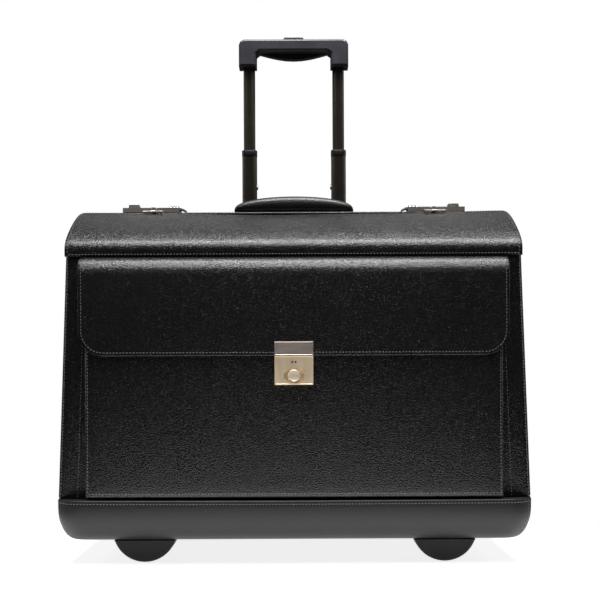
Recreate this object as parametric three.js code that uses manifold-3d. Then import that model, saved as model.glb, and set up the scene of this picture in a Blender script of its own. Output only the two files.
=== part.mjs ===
// A pilot's rolling flight case: a leather-covered box on two wheels and two feet, with a two-flap lid,
// combination latches, a front pocket and a telescopic pull handle.
// Millimetres, +Z up, +X to the viewer's right, the front faces -Y. The origin is on the floor under the
// middle of the case. The pull handle stands half raised, as the case is used beside a desk.
import * as THREE from "three";
import { mergeVertices } from "three/addons/utils/BufferGeometryUtils.js";
import Module from "manifold-3d";

const wasm = await Module();
wasm.setup();

// Fits
const GAP = 0.4; // between two pieces that touch
const OVERRUN = 5; // how far a cutting block passes the face it opens

// The box
const BASE_HALF = 240; // half the width of the base tray
const BASE_FRONT = -117;
const BASE_REAR = 117;
const BASE_BOTTOM = 23;
const BASE_TOP = 67.5;
const BASE_CORNER = 26; // its corners, seen from above
const BASE_ROUND = 14; // its lower edge rounds in by this much
const BASE_ROUND_HIGH = 34; // over this height
const BASE_SWEEP = 42; // its front sweeps in further, towards the feet
const BASE_SWEEP_HIGH = 38;
const SWEEP_STEPS = 8;
const BASE_LINING = 13; // the compartment's walls are this far in
const BASE_WALL = 3.2;
const BASE_INNER_FRONT = -99.6; // the ledge under the pocket is in front of this
const FLOOR_FRONT = -80; // the flat part of the floor starts here
const BOARD = 4; // leather-covered board
const PANEL_BOTTOM = BASE_TOP + GAP;
const SEAM = 311.5; // the front flap and the pocket flap are sewn on at this height
const HALF_AT_SEAM = 229.8; // half the width of the box at the seam
const HALF_AT_BASE = 239; // and just above the base tray
const FRONT_FACE = -100;
const FRONT_TOP = 321;
const REAR_PANEL_FACE = 88; // the rear wall of the main compartment
const REAR_PANEL_TOP = 324;
const COVER_FACE = 117; // the rear cover, behind the pull handle's tubes
const SHELF_BOTTOM = 317.5;
const SHELF_TOP = 321;

// The two-flap lid
const LID_HALF = 230.8;
const LID_MIDDLE = -6; // where the flaps meet
const LID_REACH = 97.4; // from the middle to the outside of each bend
const LID_BEND = 327;
const LID_TOP = 370;
const LID_SKIN = 3;
const LID_CURVE = 1.5; // exponent of the arch
const LID_STEPS = 9;

// The front pocket
const POCKET_HALF = 209;
const POCKET_FRONT = -116;
const POCKET_WALL = 3;
const POCKET_MOUTH = 270; // top of its front wall
const POCKET_TOP = 297; // top of its gussets
const FLAP_HALF = 214.5;
const FLAP_HINGE = 302.4;
const FLAP_BOTTOM = 210.8;
const FLAP_CORNER = 25;
const FLAP_FRONT = -119.3;
const FLAP_SKIN = 3;

// The pocket's slide lock
const LOCK_HALF = 19.3;
const LOCK_BOTTOM = 181.8;
const LOCK_TOP = 210.4;
const LOCK_FRONT = -120.9;
const HASP_TOP = 224.8;
const BUTTON_RADIUS = 6;
const BUTTON_HEIGHT = 191;
const BUTTON_TRAVEL = 3;
const BUTTON_FRONT = -122.4;

// The combination latches, whose left one is described; the right one mirrors it
const LATCH_INNER = -125; // end nearest the middle of the case
const LATCH_OUTER = -187;
const LATCH_FRONT = -7.4;
const LATCH_REAR = 19;
const LATCH_TOP = 375;
const LATCH_KNOB_X = -174.7;
const LATCH_NOTCH_X = -153;
const DIAL_COUNT = 3;
const DIAL_X = -131.9; // middle dial
const DIAL_PITCH = 3.7;
const DIAL_RADIUS = 4.9;
const DIAL_Y = 6;
const DIAL_Z = 373.8;
const BOLT_Y = -4.4;
const BOLT_Z = 372.5;

// The carry handle
const CARRY_HALF = 65.7;
const CARRY_TOP = 389;
const CARRY_Y = 8;
const CARRY_DEPTH = 16;
const CARRY_PIVOT_Z = 376;
const CARRY_PIN = 2;

// Feet and wheels
const FOOT_X = 154;
const FOOT_RADIUS = 33;
const FOOT_Y = -66;
const FOOT_DEPTH = 34;
const FOOT_FACETS = 9;
const WHEEL_X = 190;
const WHEEL_Y = 90.4;
const WHEEL_RADIUS = 32;
const WHEEL_WIDTH = 24;
const HOUSING_WIDTH = 38;
const HOUSING_FRONT = 52;
const HOUSING_REAR = 117.5;
const HOUSING_TOP = 67.2;
const AXLE_RADIUS = 3;

// The telescopic pull handle
const TUBE_X = 53;
const TUBE_Y = 105;
const BRACKET_HALF = 70; // the bracket that holds the outer tubes' lower ends
const BRACKET_LOW = 50;
const OUTER_TUBE = { wide: 23.4, deep: 16.6, wall: 1.2, low: 62, high: 321 };
const LOWER_TUBE = { wide: 17.4, deep: 13.4, wall: 1.4, low: 190, high: 459.5 };
const UPPER_TUBE = { wide: 13.8, deep: 9.8, wall: 1.2, low: 300, high: 572.5 };
const SNAP_Z = 416;
const SNAP_RADIUS = 3.2;
const GRIP_HALF = 65;
const GRIP_TOP = 590;
const GRIP_BAR = 14.5; // height of the cross bar
const GRIP_LEG = 21;
const GRIP_BELLY = 7; // the rear half's lower edge curves down for the fingers
const GRIP_BOTTOM = 557.5;
const GRIP_HALF_DEPTH = 13;
const RELEASE_TOP = 593.8;

const LEATHER = { color: 0x141416, roughness: 0.45, metalness: 0 };
const PLASTIC = { color: 0x101012, roughness: 0.35, metalness: 0 };
const NICKEL = { color: 0xa8a39a, roughness: 0.3, metalness: 0.9 };
const CHAMPAGNE = { color: 0xb0a087, roughness: 0.4, metalness: 0.9 };
const STEEL = { color: 0x8b8d90, roughness: 0.35, metalness: 1 };
const BLACK_TUBE = { color: 0x1b1a19, roughness: 0.3, metalness: 0.7 };
const RUBBER = { color: 0x161616, roughness: 0.8, metalness: 0 };
const LINING = { color: 0x2a2a2c, roughness: 0.9, metalness: 0 };

const flightCase = new THREE.Group();

function add(name, geometry, finish) {
  const mesh = new THREE.Mesh(geometry, new THREE.MeshStandardMaterial(finish));
  mesh.name = name;
  flightCase.add(mesh);
}

// ---- solids: plain shapes, and the cuts and joins between them ----

function block(x0, x1, y0, y1, z0, z1) {
  const shape = new THREE.BoxGeometry(x1 - x0, y1 - y0, z1 - z0);
  return shape.translate((x0 + x1) / 2, (y0 + y1) / 2, (z0 + z1) / 2);
}

function shapeOf(points) {
  return new THREE.Shape(points.map(([a, b]) => new THREE.Vector2(a, b)));
}

// A shape drawn in Y and Z, pulled along X.
function alongX(shape, x0, x1, options = {}) {
  const solid = new THREE.ExtrudeGeometry(shape, { depth: x1 - x0, bevelEnabled: false, ...options });
  const turn = new THREE.Matrix4().makeBasis(
    new THREE.Vector3(0, 1, 0),
    new THREE.Vector3(0, 0, 1),
    new THREE.Vector3(1, 0, 0),
  );
  return solid.applyMatrix4(turn).translate(x0, 0, 0);
}

// A shape drawn in X and Z, pulled along Y.
function alongY(shape, y0, y1, options = {}) {
  const solid = new THREE.ExtrudeGeometry(shape, { depth: y1 - y0, bevelEnabled: false, ...options });
  return solid.rotateX(Math.PI / 2).translate(0, y1, 0);
}

// A shape drawn in X and Y, pulled along Z.
function alongZ(shape, z0, z1, options = {}) {
  const solid = new THREE.ExtrudeGeometry(shape, { depth: z1 - z0, bevelEnabled: false, ...options });
  return solid.translate(0, 0, z0);
}

function roundedRectangle(a0, a1, b0, b1, radius) {
  const shape = new THREE.Shape();
  shape.absarc(a1 - radius, b0 + radius, radius, -Math.PI / 2, 0, false);
  shape.absarc(a1 - radius, b1 - radius, radius, 0, Math.PI / 2, false);
  shape.absarc(a0 + radius, b1 - radius, radius, Math.PI / 2, Math.PI, false);
  shape.absarc(a0 + radius, b0 + radius, radius, Math.PI, 1.5 * Math.PI, false);
  shape.closePath();
  return shape;
}

function rodAlongX(radius, x0, x1, y, z, sides = 16) {
  const rod = new THREE.CylinderGeometry(radius, radius, x1 - x0, sides);
  return rod.rotateZ(Math.PI / 2).translate((x0 + x1) / 2, y, z);
}

function rodAlongY(radius, y0, y1, x, z, sides = 24) {
  const rod = new THREE.CylinderGeometry(radius, radius, y1 - y0, sides);
  return rod.translate(x, (y0 + y1) / 2, z);
}

function rodAlongZ(radius, z0, z1, x, y, sides = 12) {
  const rod = new THREE.CylinderGeometry(radius, radius, z1 - z0, sides);
  return rod.rotateX(Math.PI / 2).translate(x, y, (z0 + z1) / 2);
}

// A closed outline of [distance along X, radius] turned about an axle that lies along X.
function turnedAboutX(outline, x, y, z, sides) {
  const profile = outline.map(([along, radius]) => new THREE.Vector2(radius, along)).reverse();
  const ring = new THREE.LatheGeometry([...profile, profile[0]], sides);
  return ring.rotateZ(-Math.PI / 2).translate(x, y, z);
}

function toSolid(geometry) {
  const bare = new THREE.BufferGeometry();
  const flat = geometry.index ? geometry.toNonIndexed() : geometry;
  bare.setAttribute("position", flat.getAttribute("position"));
  const merged = mergeVertices(bare, 1e-4);
  return new wasm.Manifold(
    new wasm.Mesh({
      numProp: 3,
      vertProperties: new Float32Array(merged.attributes.position.array),
      triVerts: new Uint32Array(merged.index.array),
    }),
  );
}

function toGeometry(solid) {
  const { vertProperties, triVerts } = solid.getMesh();
  const geometry = new THREE.BufferGeometry();
  geometry.setAttribute("position", new THREE.BufferAttribute(vertProperties, 3));
  geometry.setIndex(new THREE.BufferAttribute(triVerts, 1));
  return geometry;
}

function combine(first, { join = [], cut = [] }) {
  let solid = toSolid(first);
  for (const piece of join) solid = solid.add(toSolid(piece));
  for (const piece of cut) solid = solid.subtract(toSolid(piece));
  return toGeometry(solid);
}

function mirrored(geometry) {
  const other = geometry.index ? geometry.toNonIndexed() : geometry.clone();
  const at = other.attributes.position;
  for (let i = 0; i < at.count; i += 3) {
    const first = [at.getX(i), at.getY(i), at.getZ(i)];
    at.setXYZ(i, -at.getX(i + 1), at.getY(i + 1), at.getZ(i + 1));
    at.setXYZ(i + 1, -first[0], first[1], first[2]);
    at.setX(i + 2, -at.getX(i + 2));
  }
  return other;
}

// Adds NAME_left as drawn, on the -X side, and NAME_right as its mirror image.
function addPair(name, geometry, finish) {
  add(name + "_left", geometry, finish);
  add(name + "_right", mirrored(geometry), finish);
}

// ---- the box ----

// Half the box's width at a height: it widens evenly towards the base.
function halfWidth(z) {
  const share = (z - PANEL_BOTTOM) / (SEAM - PANEL_BOTTOM);
  return HALF_AT_BASE + (HALF_AT_SEAM - HALF_AT_BASE) * share;
}

// The lid's arch at a distance from front to back; inset gives the face that is that much further in.
function lidHeight(y, inset = 0) {
  const across = Math.min(1, Math.abs(y - LID_MIDDLE) / (LID_REACH - inset));
  const bend = LID_BEND - inset / 2;
  return bend + (LID_TOP - inset - bend) * (1 - across ** LID_CURVE);
}

// Points on the arch between two distances, closer together near the bend.
function archPoints(from, to, inset) {
  const points = [];
  for (let i = 0; i <= LID_STEPS; i++) {
    const y = from + (to - from) * (i / LID_STEPS);
    points.push([y, lidHeight(y, inset)]);
  }
  return points;
}

const housingHalf = HOUSING_WIDTH / 2;
const housingInner = WHEEL_X - housingHalf;
const housingOuter = WHEEL_X + housingHalf;

function housingRooms(z0, z1) {
  return [-1, 1].map((side) => {
    const ends = [side * (housingInner - GAP), side * (housingOuter + GAP)];
    return block(Math.min(...ends), Math.max(...ends), HOUSING_FRONT - GAP, BASE_REAR + OVERRUN, z0, z1);
  });
}

function baseTray() {
  const outline = roundedRectangle(-BASE_HALF, BASE_HALF, BASE_FRONT, BASE_REAR, BASE_CORNER);
  const body = alongZ(outline, BASE_BOTTOM + BASE_ROUND_HIGH, BASE_TOP + OVERRUN, {
    bevelEnabled: true,
    bevelThickness: BASE_ROUND_HIGH,
    bevelSize: BASE_ROUND,
    bevelOffset: -BASE_ROUND,
    bevelSegments: 5,
    curveSegments: 4,
  });
  const top = block(-BASE_HALF - OVERRUN, BASE_HALF + OVERRUN, BASE_FRONT - OVERRUN, BASE_REAR + OVERRUN,
    BASE_TOP, BASE_TOP + 3 * BASE_ROUND_HIGH);
  const inside = block(BASE_LINING - BASE_HALF, BASE_HALF - BASE_LINING, BASE_INNER_FRONT,
    BASE_REAR - BASE_LINING, BASE_BOTTOM + BASE_LINING, BASE_TOP + OVERRUN);
  const floorRoom = block(BASE_ROUND + 1 - BASE_HALF, BASE_HALF - BASE_ROUND - 1, FLOOR_FRONT,
    BASE_REAR - BASE_ROUND - 1, BASE_BOTTOM + BASE_WALL, BASE_TOP);
  const underFront = [
    [BASE_FRONT - OVERRUN, BASE_BOTTOM + BASE_SWEEP_HIGH],
    [BASE_FRONT - OVERRUN, BASE_BOTTOM - OVERRUN],
    [BASE_FRONT + BASE_SWEEP, BASE_BOTTOM - OVERRUN],
  ];
  for (let i = 0; i <= SWEEP_STEPS; i++) {
    const turn = (Math.PI / 2) * (1 - i / SWEEP_STEPS);
    underFront.push([
      BASE_FRONT + BASE_SWEEP * (1 - Math.cos(turn)),
      BASE_BOTTOM + BASE_SWEEP_HIGH * (1 - Math.sin(turn)),
    ]);
  }
  const sweep = alongX(shapeOf(underFront), -BASE_HALF - OVERRUN, BASE_HALF + OVERRUN);
  const tubeRoom = block(-BRACKET_HALF - GAP, BRACKET_HALF + GAP, TUBE_Y - OVERRUN, BASE_REAR - BASE_WALL,
    BRACKET_LOW - GAP, BASE_TOP + OVERRUN);
  const rooms = housingRooms(BASE_BOTTOM - OVERRUN, BASE_TOP + OVERRUN);
  return combine(body, { cut: [top, sweep, inside, floorRoom, tubeRoom, ...rooms] });
}

function bottomBoard() {
  const low = BASE_BOTTOM + BASE_WALL + GAP;
  const board = block(BASE_ROUND + 2 - BASE_HALF, BASE_HALF - BASE_ROUND - 2, FLOOR_FRONT + 1,
    BASE_REAR - BASE_ROUND - 2, low, low + BOARD);
  return combine(board, { cut: housingRooms(0, BASE_TOP) });
}

function frontPanel() {
  const shape = shapeOf([
    [-halfWidth(PANEL_BOTTOM), PANEL_BOTTOM],
    [halfWidth(PANEL_BOTTOM), PANEL_BOTTOM],
    [halfWidth(FRONT_TOP), FRONT_TOP],
    [-halfWidth(FRONT_TOP), FRONT_TOP],
  ]);
  return alongY(shape, FRONT_FACE, FRONT_FACE + BOARD);
}

function rearPanel() {
  const inset = BOARD + GAP; // it stands between the end panels
  const foot = BASE_BOTTOM + BASE_WALL + BOARD + 2 * GAP;
  const between = housingInner - 2 * GAP;
  const shape = shapeOf([
    [-between, foot],
    [between, foot],
    [between, PANEL_BOTTOM],
    [halfWidth(PANEL_BOTTOM) - inset, PANEL_BOTTOM],
    [halfWidth(REAR_PANEL_TOP) - inset, REAR_PANEL_TOP],
    [inset - halfWidth(REAR_PANEL_TOP), REAR_PANEL_TOP],
    [inset - halfWidth(PANEL_BOTTOM), PANEL_BOTTOM],
    [-between, PANEL_BOTTOM],
  ]);
  return alongY(shape, REAR_PANEL_FACE - BOARD, REAR_PANEL_FACE);
}

function rearCover() {
  const shape = shapeOf([
    [-halfWidth(PANEL_BOTTOM), PANEL_BOTTOM],
    [halfWidth(PANEL_BOTTOM), PANEL_BOTTOM],
    [halfWidth(SHELF_TOP), SHELF_TOP],
    [-halfWidth(SHELF_TOP), SHELF_TOP],
  ]);
  return alongY(shape, COVER_FACE - LID_SKIN, COVER_FACE);
}

// Joins the tops of the rear panel and the rear cover, with a hole for each tube.
function rearShelf() {
  const half = halfWidth(SHELF_TOP) - BOARD - GAP;
  const shelf = block(-half, half, REAR_PANEL_FACE + GAP, COVER_FACE - LID_SKIN - GAP,
    SHELF_BOTTOM, SHELF_TOP);
  const holes = [-TUBE_X, TUBE_X].map((x) => {
    const wide = OUTER_TUBE.wide / 2 + GAP;
    return block(x - wide, x + wide, TUBE_Y - OUTER_TUBE.deep / 2 - GAP, COVER_FACE, 0, SHELF_TOP + OVERRUN);
  });
  return combine(shelf, { cut: holes });
}

// An end panel: its top carries the lid's arch, and it leans out towards the base.
function endPanel() {
  const front = FRONT_FACE + BOARD + GAP;
  const rear = COVER_FACE - LID_SKIN - GAP;
  const lidRear = REAR_PANEL_FACE - GAP;
  const arch = archPoints(lidRear, front, LID_SKIN).map(([y, z]) => [y, z - GAP]);
  const outline = shapeOf([
    [front, PANEL_BOTTOM],
    [rear, PANEL_BOTTOM],
    [rear, SHELF_TOP],
    [lidRear, SHELF_TOP],
    ...arch,
  ]);
  const panel = alongX(outline, -HALF_AT_SEAM, BOARD - HALF_AT_SEAM);
  const lean = (HALF_AT_BASE - HALF_AT_SEAM) / (SEAM - PANEL_BOTTOM);
  const leaning = new THREE.Matrix4().set(1, 0, lean, -lean * SEAM, 0, 1, 0, 0, 0, 0, 1, 0, 0, 0, 0, 1);
  return panel.applyMatrix4(leaning);
}

add("base_tray", baseTray(), LEATHER);
add("bottom_board", bottomBoard(), LINING);
add("front_panel", frontPanel(), LEATHER);
add("rear_panel", rearPanel(), LINING);
add("rear_cover", rearCover(), LEATHER);
add("rear_shelf", rearShelf(), LEATHER);
addPair("end_panel", endPanel(), LEATHER);

// ---- the lid ----

function frontFlap() {
  const outside = LID_MIDDLE - LID_REACH;
  const edge = LID_MIDDLE - 2;
  const low = SEAM + GAP;
  const outline = shapeOf([
    [outside + LID_SKIN, low],
    [outside + LID_SKIN, lidHeight(outside + LID_SKIN, LID_SKIN)],
    ...archPoints(outside + LID_SKIN, edge, LID_SKIN).slice(1),
    ...archPoints(edge, outside, 0),
    [outside, low],
  ]);
  return alongX(outline, -LID_HALF, LID_HALF);
}

function rearFlap() {
  const outside = LID_MIDDLE + LID_REACH;
  const edge = LID_MIDDLE - 1.4;
  const low = REAR_PANEL_TOP + GAP;
  const outline = shapeOf([
    [outside, low],
    ...archPoints(outside, edge, 0),
    ...archPoints(edge, outside - LID_SKIN, LID_SKIN),
    [outside - LID_SKIN, low],
  ]);
  return alongX(outline, -LID_HALF, LID_HALF);
}

add("front_flap", frontFlap(), LEATHER);
add("rear_flap", rearFlap(), LEATHER);

// ---- the combination latches ----

const notch = { half: 3.4, rear: -2 };
const dialRoom = (DIAL_COUNT * DIAL_PITCH) / 2 + 0.3;

// Its underside follows the lid, and its inner end curls down to a thumb lip.
function latchBody() {
  const steps = 4;
  const under = [];
  for (let i = 0; i <= steps; i++) {
    const y = LATCH_FRONT + ((LATCH_REAR - LATCH_FRONT) * i) / steps;
    under.push([y, Math.max(lidHeight(y), lidHeight(y - 2)) + GAP]);
  }
  const top = LATCH_TOP;
  const outline = shapeOf([...under, [LATCH_REAR, top - 3], [LATCH_REAR - 3, top], [LATCH_FRONT, top]]);
  const body = alongX(outline, LATCH_OUTER, LATCH_INNER);
  const lip = alongY(
    shapeOf([
      [LATCH_INNER - 1, top],
      [LATCH_INNER - 1, top - 1.6],
      [LATCH_INNER + 3, top - 2.4],
      [LATCH_INNER + 7, top - 4.2],
      [LATCH_INNER + 7.4, top - 3],
      [LATCH_INNER + 3.5, top - 0.8],
      [LATCH_INNER + 1, top - 0.1],
    ]),
    LATCH_FRONT + 1,
    LATCH_FRONT + 12,
  );
  const dialWindow = block(DIAL_X - dialRoom, DIAL_X + dialRoom, DIAL_Y - DIAL_RADIUS - 0.6,
    DIAL_Y + DIAL_RADIUS + 0.6, LATCH_TOP - 20, LATCH_TOP + OVERRUN);
  const notchRoom = block(LATCH_NOTCH_X - notch.half, LATCH_NOTCH_X + notch.half,
    LATCH_FRONT - OVERRUN, notch.rear, LATCH_TOP - 20, LATCH_TOP + OVERRUN);
  const tunnel = block(LATCH_KNOB_X - 6, LATCH_NOTCH_X + 8, BOLT_Y - 1.3, BOLT_Y + 1.3,
    BOLT_Z - 1.3, BOLT_Z + 1.3);
  const knobSlot = block(LATCH_KNOB_X - 2.4, LATCH_KNOB_X + 9.4, BOLT_Y - 1.3, BOLT_Y + 1.3,
    BOLT_Z, LATCH_TOP + OVERRUN);
  const shaft = rodAlongX(1.2, DIAL_X - dialRoom - 1, DIAL_X + dialRoom + 1, DIAL_Y, DIAL_Z, 10);
  const cut = combine(body, { join: [lip], cut: [dialWindow, notchRoom, tunnel, knobSlot] });
  return combine(cut, { join: [shaft] });
}

function latchDial(index) {
  const x = DIAL_X + (index - (DIAL_COUNT - 1) / 2) * DIAL_PITCH;
  const half = DIAL_PITCH / 2 - 0.3;
  const rim = DIAL_RADIUS - 0.5;
  const outline = [
    [-half, 1.6],
    [half, 1.6],
    [half, rim],
    [half - 0.5, DIAL_RADIUS],
    [0.5 - half, DIAL_RADIUS],
    [-half, rim],
  ];
  return turnedAboutX(outline, x, DIAL_Y, DIAL_Z, 20);
}

// The thumb knob, its stem and the bolt that it pushes through the strike.
function latchKnob() {
  const knob = alongY(
    shapeOf([
      [LATCH_KNOB_X - 6, LATCH_TOP + 0.4],
      [LATCH_KNOB_X + 6, LATCH_TOP + 0.4],
      [LATCH_KNOB_X + 5.4, LATCH_TOP + 3.5],
      [LATCH_KNOB_X - 5.4, LATCH_TOP + 3.5],
    ]),
    LATCH_FRONT + 0.6,
    LATCH_FRONT + 11,
  );
  const stem = block(LATCH_KNOB_X - 2, LATCH_KNOB_X + 2, BOLT_Y - 0.9, BOLT_Y + 0.9, BOLT_Z, LATCH_TOP + 1);
  const bolt = block(LATCH_KNOB_X - 3, LATCH_NOTCH_X - notch.half - 0.6, BOLT_Y - 0.9, BOLT_Y + 0.9,
    BOLT_Z - 0.9, BOLT_Z + 0.9);
  return combine(knob, { join: [stem, bolt] });
}

// The strike on the front flap: a plate with an eye that stands in the latch's notch.
function strike() {
  const rear = LID_MIDDLE - 2.6;
  const front = rear - 12;
  const plate = alongX(
    shapeOf([
      [front, lidHeight(front) + GAP + 0.3],
      [rear, lidHeight(rear) + GAP + 0.3],
      [rear, lidHeight(rear) + 2.2],
      [front, lidHeight(front) + 1.9],
    ]),
    LATCH_NOTCH_X - 11,
    LATCH_NOTCH_X + 11,
  );
  const eye = block(LATCH_NOTCH_X - 2.2, LATCH_NOTCH_X + 2.2, rear - 3, notch.rear - 0.5,
    LID_TOP + 0.7, LATCH_TOP);
  const hole = block(LATCH_NOTCH_X - 4, LATCH_NOTCH_X + 4, BOLT_Y - 1.3, BOLT_Y + 1.3,
    BOLT_Z - 1.2, BOLT_Z + 1.2);
  return combine(plate, { join: [eye], cut: [hole] });
}

addPair("latch_body", latchBody(), NICKEL);
addPair("latch_knob", latchKnob(), NICKEL);
for (let i = 0; i < DIAL_COUNT; i++) addPair("dial_" + (i + 1), latchDial(i), STEEL);
addPair("strike", strike(), NICKEL);

// ---- the carry handle ----

function carryHandle() {
  const foot = CARRY_PIVOT_Z - 3.6;
  const outside = [];
  const steps = 10;
  const inner = CARRY_HALF - 9;
  for (let i = 0; i <= steps; i++) {
    const turn = Math.PI * (i / steps);
    outside.push([CARRY_HALF * Math.cos(turn), foot + (CARRY_TOP - foot) * Math.sin(turn) ** 0.55]);
  }
  const grasp = 4.2; // height of the gap under the bar
  const inside = [
    [-inner, foot],
    [-inner, foot + grasp],
    [inner, foot + grasp],
    [inner, foot],
  ];
  const arch = alongY(
    shapeOf([...outside, ...inside]),
    CARRY_Y - CARRY_DEPTH / 2 + 2,
    CARRY_Y + CARRY_DEPTH / 2 - 2,
    { bevelEnabled: true, bevelThickness: 2, bevelSize: 2, bevelOffset: -2, bevelSegments: 1 },
  );
  const bore = CARRY_PIN + 0.4;
  const bores = [-1, 1].map((side) => {
    const ends = [side * (inner - 3), side * (CARRY_HALF - 2.6)];
    return rodAlongX(bore, Math.min(...ends), Math.max(...ends), CARRY_Y, CARRY_PIVOT_Z, 12);
  });
  const earRooms = [-1, 1].map((side) => {
    const ends = [side * inner, side * (inner - 5.2)];
    return block(Math.min(...ends), Math.max(...ends), CARRY_Y - CARRY_DEPTH, CARRY_Y + CARRY_DEPTH,
      foot - OVERRUN, CARRY_PIVOT_Z + 3.9);
  });
  return combine(arch, { cut: [...bores, ...earRooms] });
}

// A bracket on the rear flap with the pin that the handle turns on.
function carryBracket() {
  const inner = -(CARRY_HALF - 9) + 0.6;
  const under = Math.max(lidHeight(CARRY_Y - 6), lidHeight(CARRY_Y + 6)) + GAP;
  const ear = block(inner, inner + 4, CARRY_Y - 2.6, CARRY_Y + 2.6, under, CARRY_PIVOT_Z + 2.2);
  const foot = block(inner, inner + 16, CARRY_Y - 6, CARRY_Y + 6, under, under + 1.6);
  const pin = rodAlongX(CARRY_PIN, -CARRY_HALF + 3.4, inner + 1, CARRY_Y, CARRY_PIVOT_Z, 12);
  return combine(ear, { join: [foot, pin] });
}

add("carry_handle", carryHandle(), LEATHER);
addPair("carry_bracket", carryBracket(), NICKEL);

// ---- the front pocket ----

function pocketShell() {
  const low = PANEL_BOTTOM + 1;
  const rear = FRONT_FACE - GAP;
  const shell = block(-POCKET_HALF, POCKET_HALF, POCKET_FRONT, rear, low, POCKET_TOP);
  const inner = POCKET_HALF - POCKET_WALL;
  const inside = block(-inner, inner, POCKET_FRONT + POCKET_WALL, rear + OVERRUN, low + POCKET_WALL,
    POCKET_TOP + OVERRUN);
  const mouth = block(-inner, inner, POCKET_FRONT - OVERRUN, rear + OVERRUN,
    POCKET_MOUTH, POCKET_TOP + OVERRUN);
  return combine(shell, { cut: [inside, mouth] });
}

// The sewn root of the pocket's flap, from the seam to the fold that the flap turns on.
function pocketFlapRoot() {
  const rear = FRONT_FACE - GAP;
  const front = FLAP_FRONT;
  const low = FLAP_HINGE + 0.3;
  const outline = shapeOf([
    [rear, SEAM - 4],
    [rear, SEAM - 1],
    [rear - 6, SEAM - 2],
    [rear - 12, SEAM - 4],
    [front + 2, SEAM - 6],
    [front, low],
    [front + FLAP_SKIN, low],
    [rear - 11, SEAM - 7],
    [rear - 6, SEAM - 5.2],
  ].reverse());
  return alongX(outline, -FLAP_HALF, FLAP_HALF);
}

function pocketFlap() {
  const shape = new THREE.Shape();
  shape.moveTo(FLAP_HALF, FLAP_HINGE - 0.3);
  shape.lineTo(-FLAP_HALF, FLAP_HINGE - 0.3);
  const x = FLAP_HALF - FLAP_CORNER;
  const z = FLAP_BOTTOM + FLAP_CORNER;
  shape.absarc(-x, z, FLAP_CORNER, Math.PI, 1.5 * Math.PI, false);
  shape.absarc(x, z, FLAP_CORNER, 1.5 * Math.PI, 2 * Math.PI, false);
  return alongY(shape, FLAP_FRONT, FLAP_FRONT + FLAP_SKIN, { curveSegments: 5 });
}

add("pocket_shell", pocketShell(), LEATHER);
add("pocket_flap_root", pocketFlapRoot(), LEATHER);
add("pocket_flap", pocketFlap(), LEATHER);

// ---- the pocket's slide lock ----

function pocketLockBody() {
  const body = block(-LOCK_HALF, LOCK_HALF, LOCK_FRONT, POCKET_FRONT - 0.3, LOCK_BOTTOM, LOCK_TOP);
  const reach = BUTTON_RADIUS + BUTTON_TRAVEL + GAP;
  const room = block(-reach, reach, LOCK_FRONT - OVERRUN, LOCK_FRONT + 2.4,
    BUTTON_HEIGHT - BUTTON_RADIUS - GAP, BUTTON_HEIGHT + BUTTON_RADIUS + GAP);
  return combine(body, { cut: [room] });
}

function pocketLockButton() {
  return rodAlongY(BUTTON_RADIUS, BUTTON_FRONT, LOCK_FRONT + 2, 0, BUTTON_HEIGHT);
}

add("pocket_lock_body", pocketLockBody(), CHAMPAGNE);
add("pocket_lock_button", pocketLockButton(), CHAMPAGNE);
const haspFace = FLAP_FRONT - 0.3;
const hasp = block(-LOCK_HALF, LOCK_HALF, haspFace - 1.4, haspFace, LOCK_TOP + GAP, HASP_TOP);
add("pocket_hasp", hasp, CHAMPAGNE);

// ---- feet and wheels ----

// A half-moon foot under the front of the base, flat where it meets the floor.
function foot() {
  const top = BASE_BOTTOM - GAP;
  const spread = Math.acos((FOOT_RADIUS - top) / FOOT_RADIUS);
  const facet = (2 * spread) / FOOT_FACETS;
  const radius = FOOT_RADIUS / Math.cos(facet / 2);
  const outline = [];
  for (let i = 0; i <= FOOT_FACETS; i++) {
    const turn = -Math.PI / 2 - spread + facet * i;
    outline.push([-FOOT_X + radius * Math.cos(turn), Math.min(top, FOOT_RADIUS + radius * Math.sin(turn))]);
  }
  const round = 3;
  return alongY(shapeOf(outline), FOOT_Y - FOOT_DEPTH / 2 + round, FOOT_Y + FOOT_DEPTH / 2 - round, {
    bevelEnabled: true,
    bevelThickness: round,
    bevelSize: round,
    bevelOffset: -round,
    bevelSegments: 2,
  });
}

function wheelHousing() {
  const wall = 3.4;
  const x0 = -housingOuter;
  const x1 = -housingInner;
  const body = block(x0, x1, HOUSING_FRONT, HOUSING_REAR, BASE_BOTTOM + 0.3, HOUSING_TOP);
  const well = block(x0 + wall, x1 - wall, HOUSING_FRONT + wall, HOUSING_REAR + OVERRUN,
    0, HOUSING_TOP - 2.2);
  const bore = rodAlongX(AXLE_RADIUS + 0.3, x0 - 1, x1 + 1, WHEEL_Y, WHEEL_RADIUS, 16);
  return combine(body, { cut: [well, bore] });
}

const hubRadius = 22;

function tyre() {
  const half = WHEEL_WIDTH / 2;
  const outline = [
    [-half, hubRadius],
    [half, hubRadius],
    [half, WHEEL_RADIUS - 4],
    [half - 3, WHEEL_RADIUS - 1],
    [half - 7, WHEEL_RADIUS],
    [7 - half, WHEEL_RADIUS],
    [3 - half, WHEEL_RADIUS - 1],
    [-half, WHEEL_RADIUS - 4],
  ];
  return turnedAboutX(outline, -WHEEL_X, WHEEL_Y, WHEEL_RADIUS, 28);
}

function hub() {
  const half = WHEEL_WIDTH / 2 + 1;
  const web = 4;
  const outline = [
    [-half, AXLE_RADIUS + 0.3],
    [half, AXLE_RADIUS + 0.3],
    [half, 8],
    [web, 9],
    [web, hubRadius - 4],
    [half - 2, hubRadius - 3],
    [half - 2, hubRadius - 0.5],
    [2 - half, hubRadius - 0.5],
    [2 - half, hubRadius - 3],
    [-web, hubRadius - 4],
    [-web, 9],
    [-half, 8],
  ];
  return turnedAboutX(outline, -WHEEL_X, WHEEL_Y, WHEEL_RADIUS, 28);
}

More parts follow.
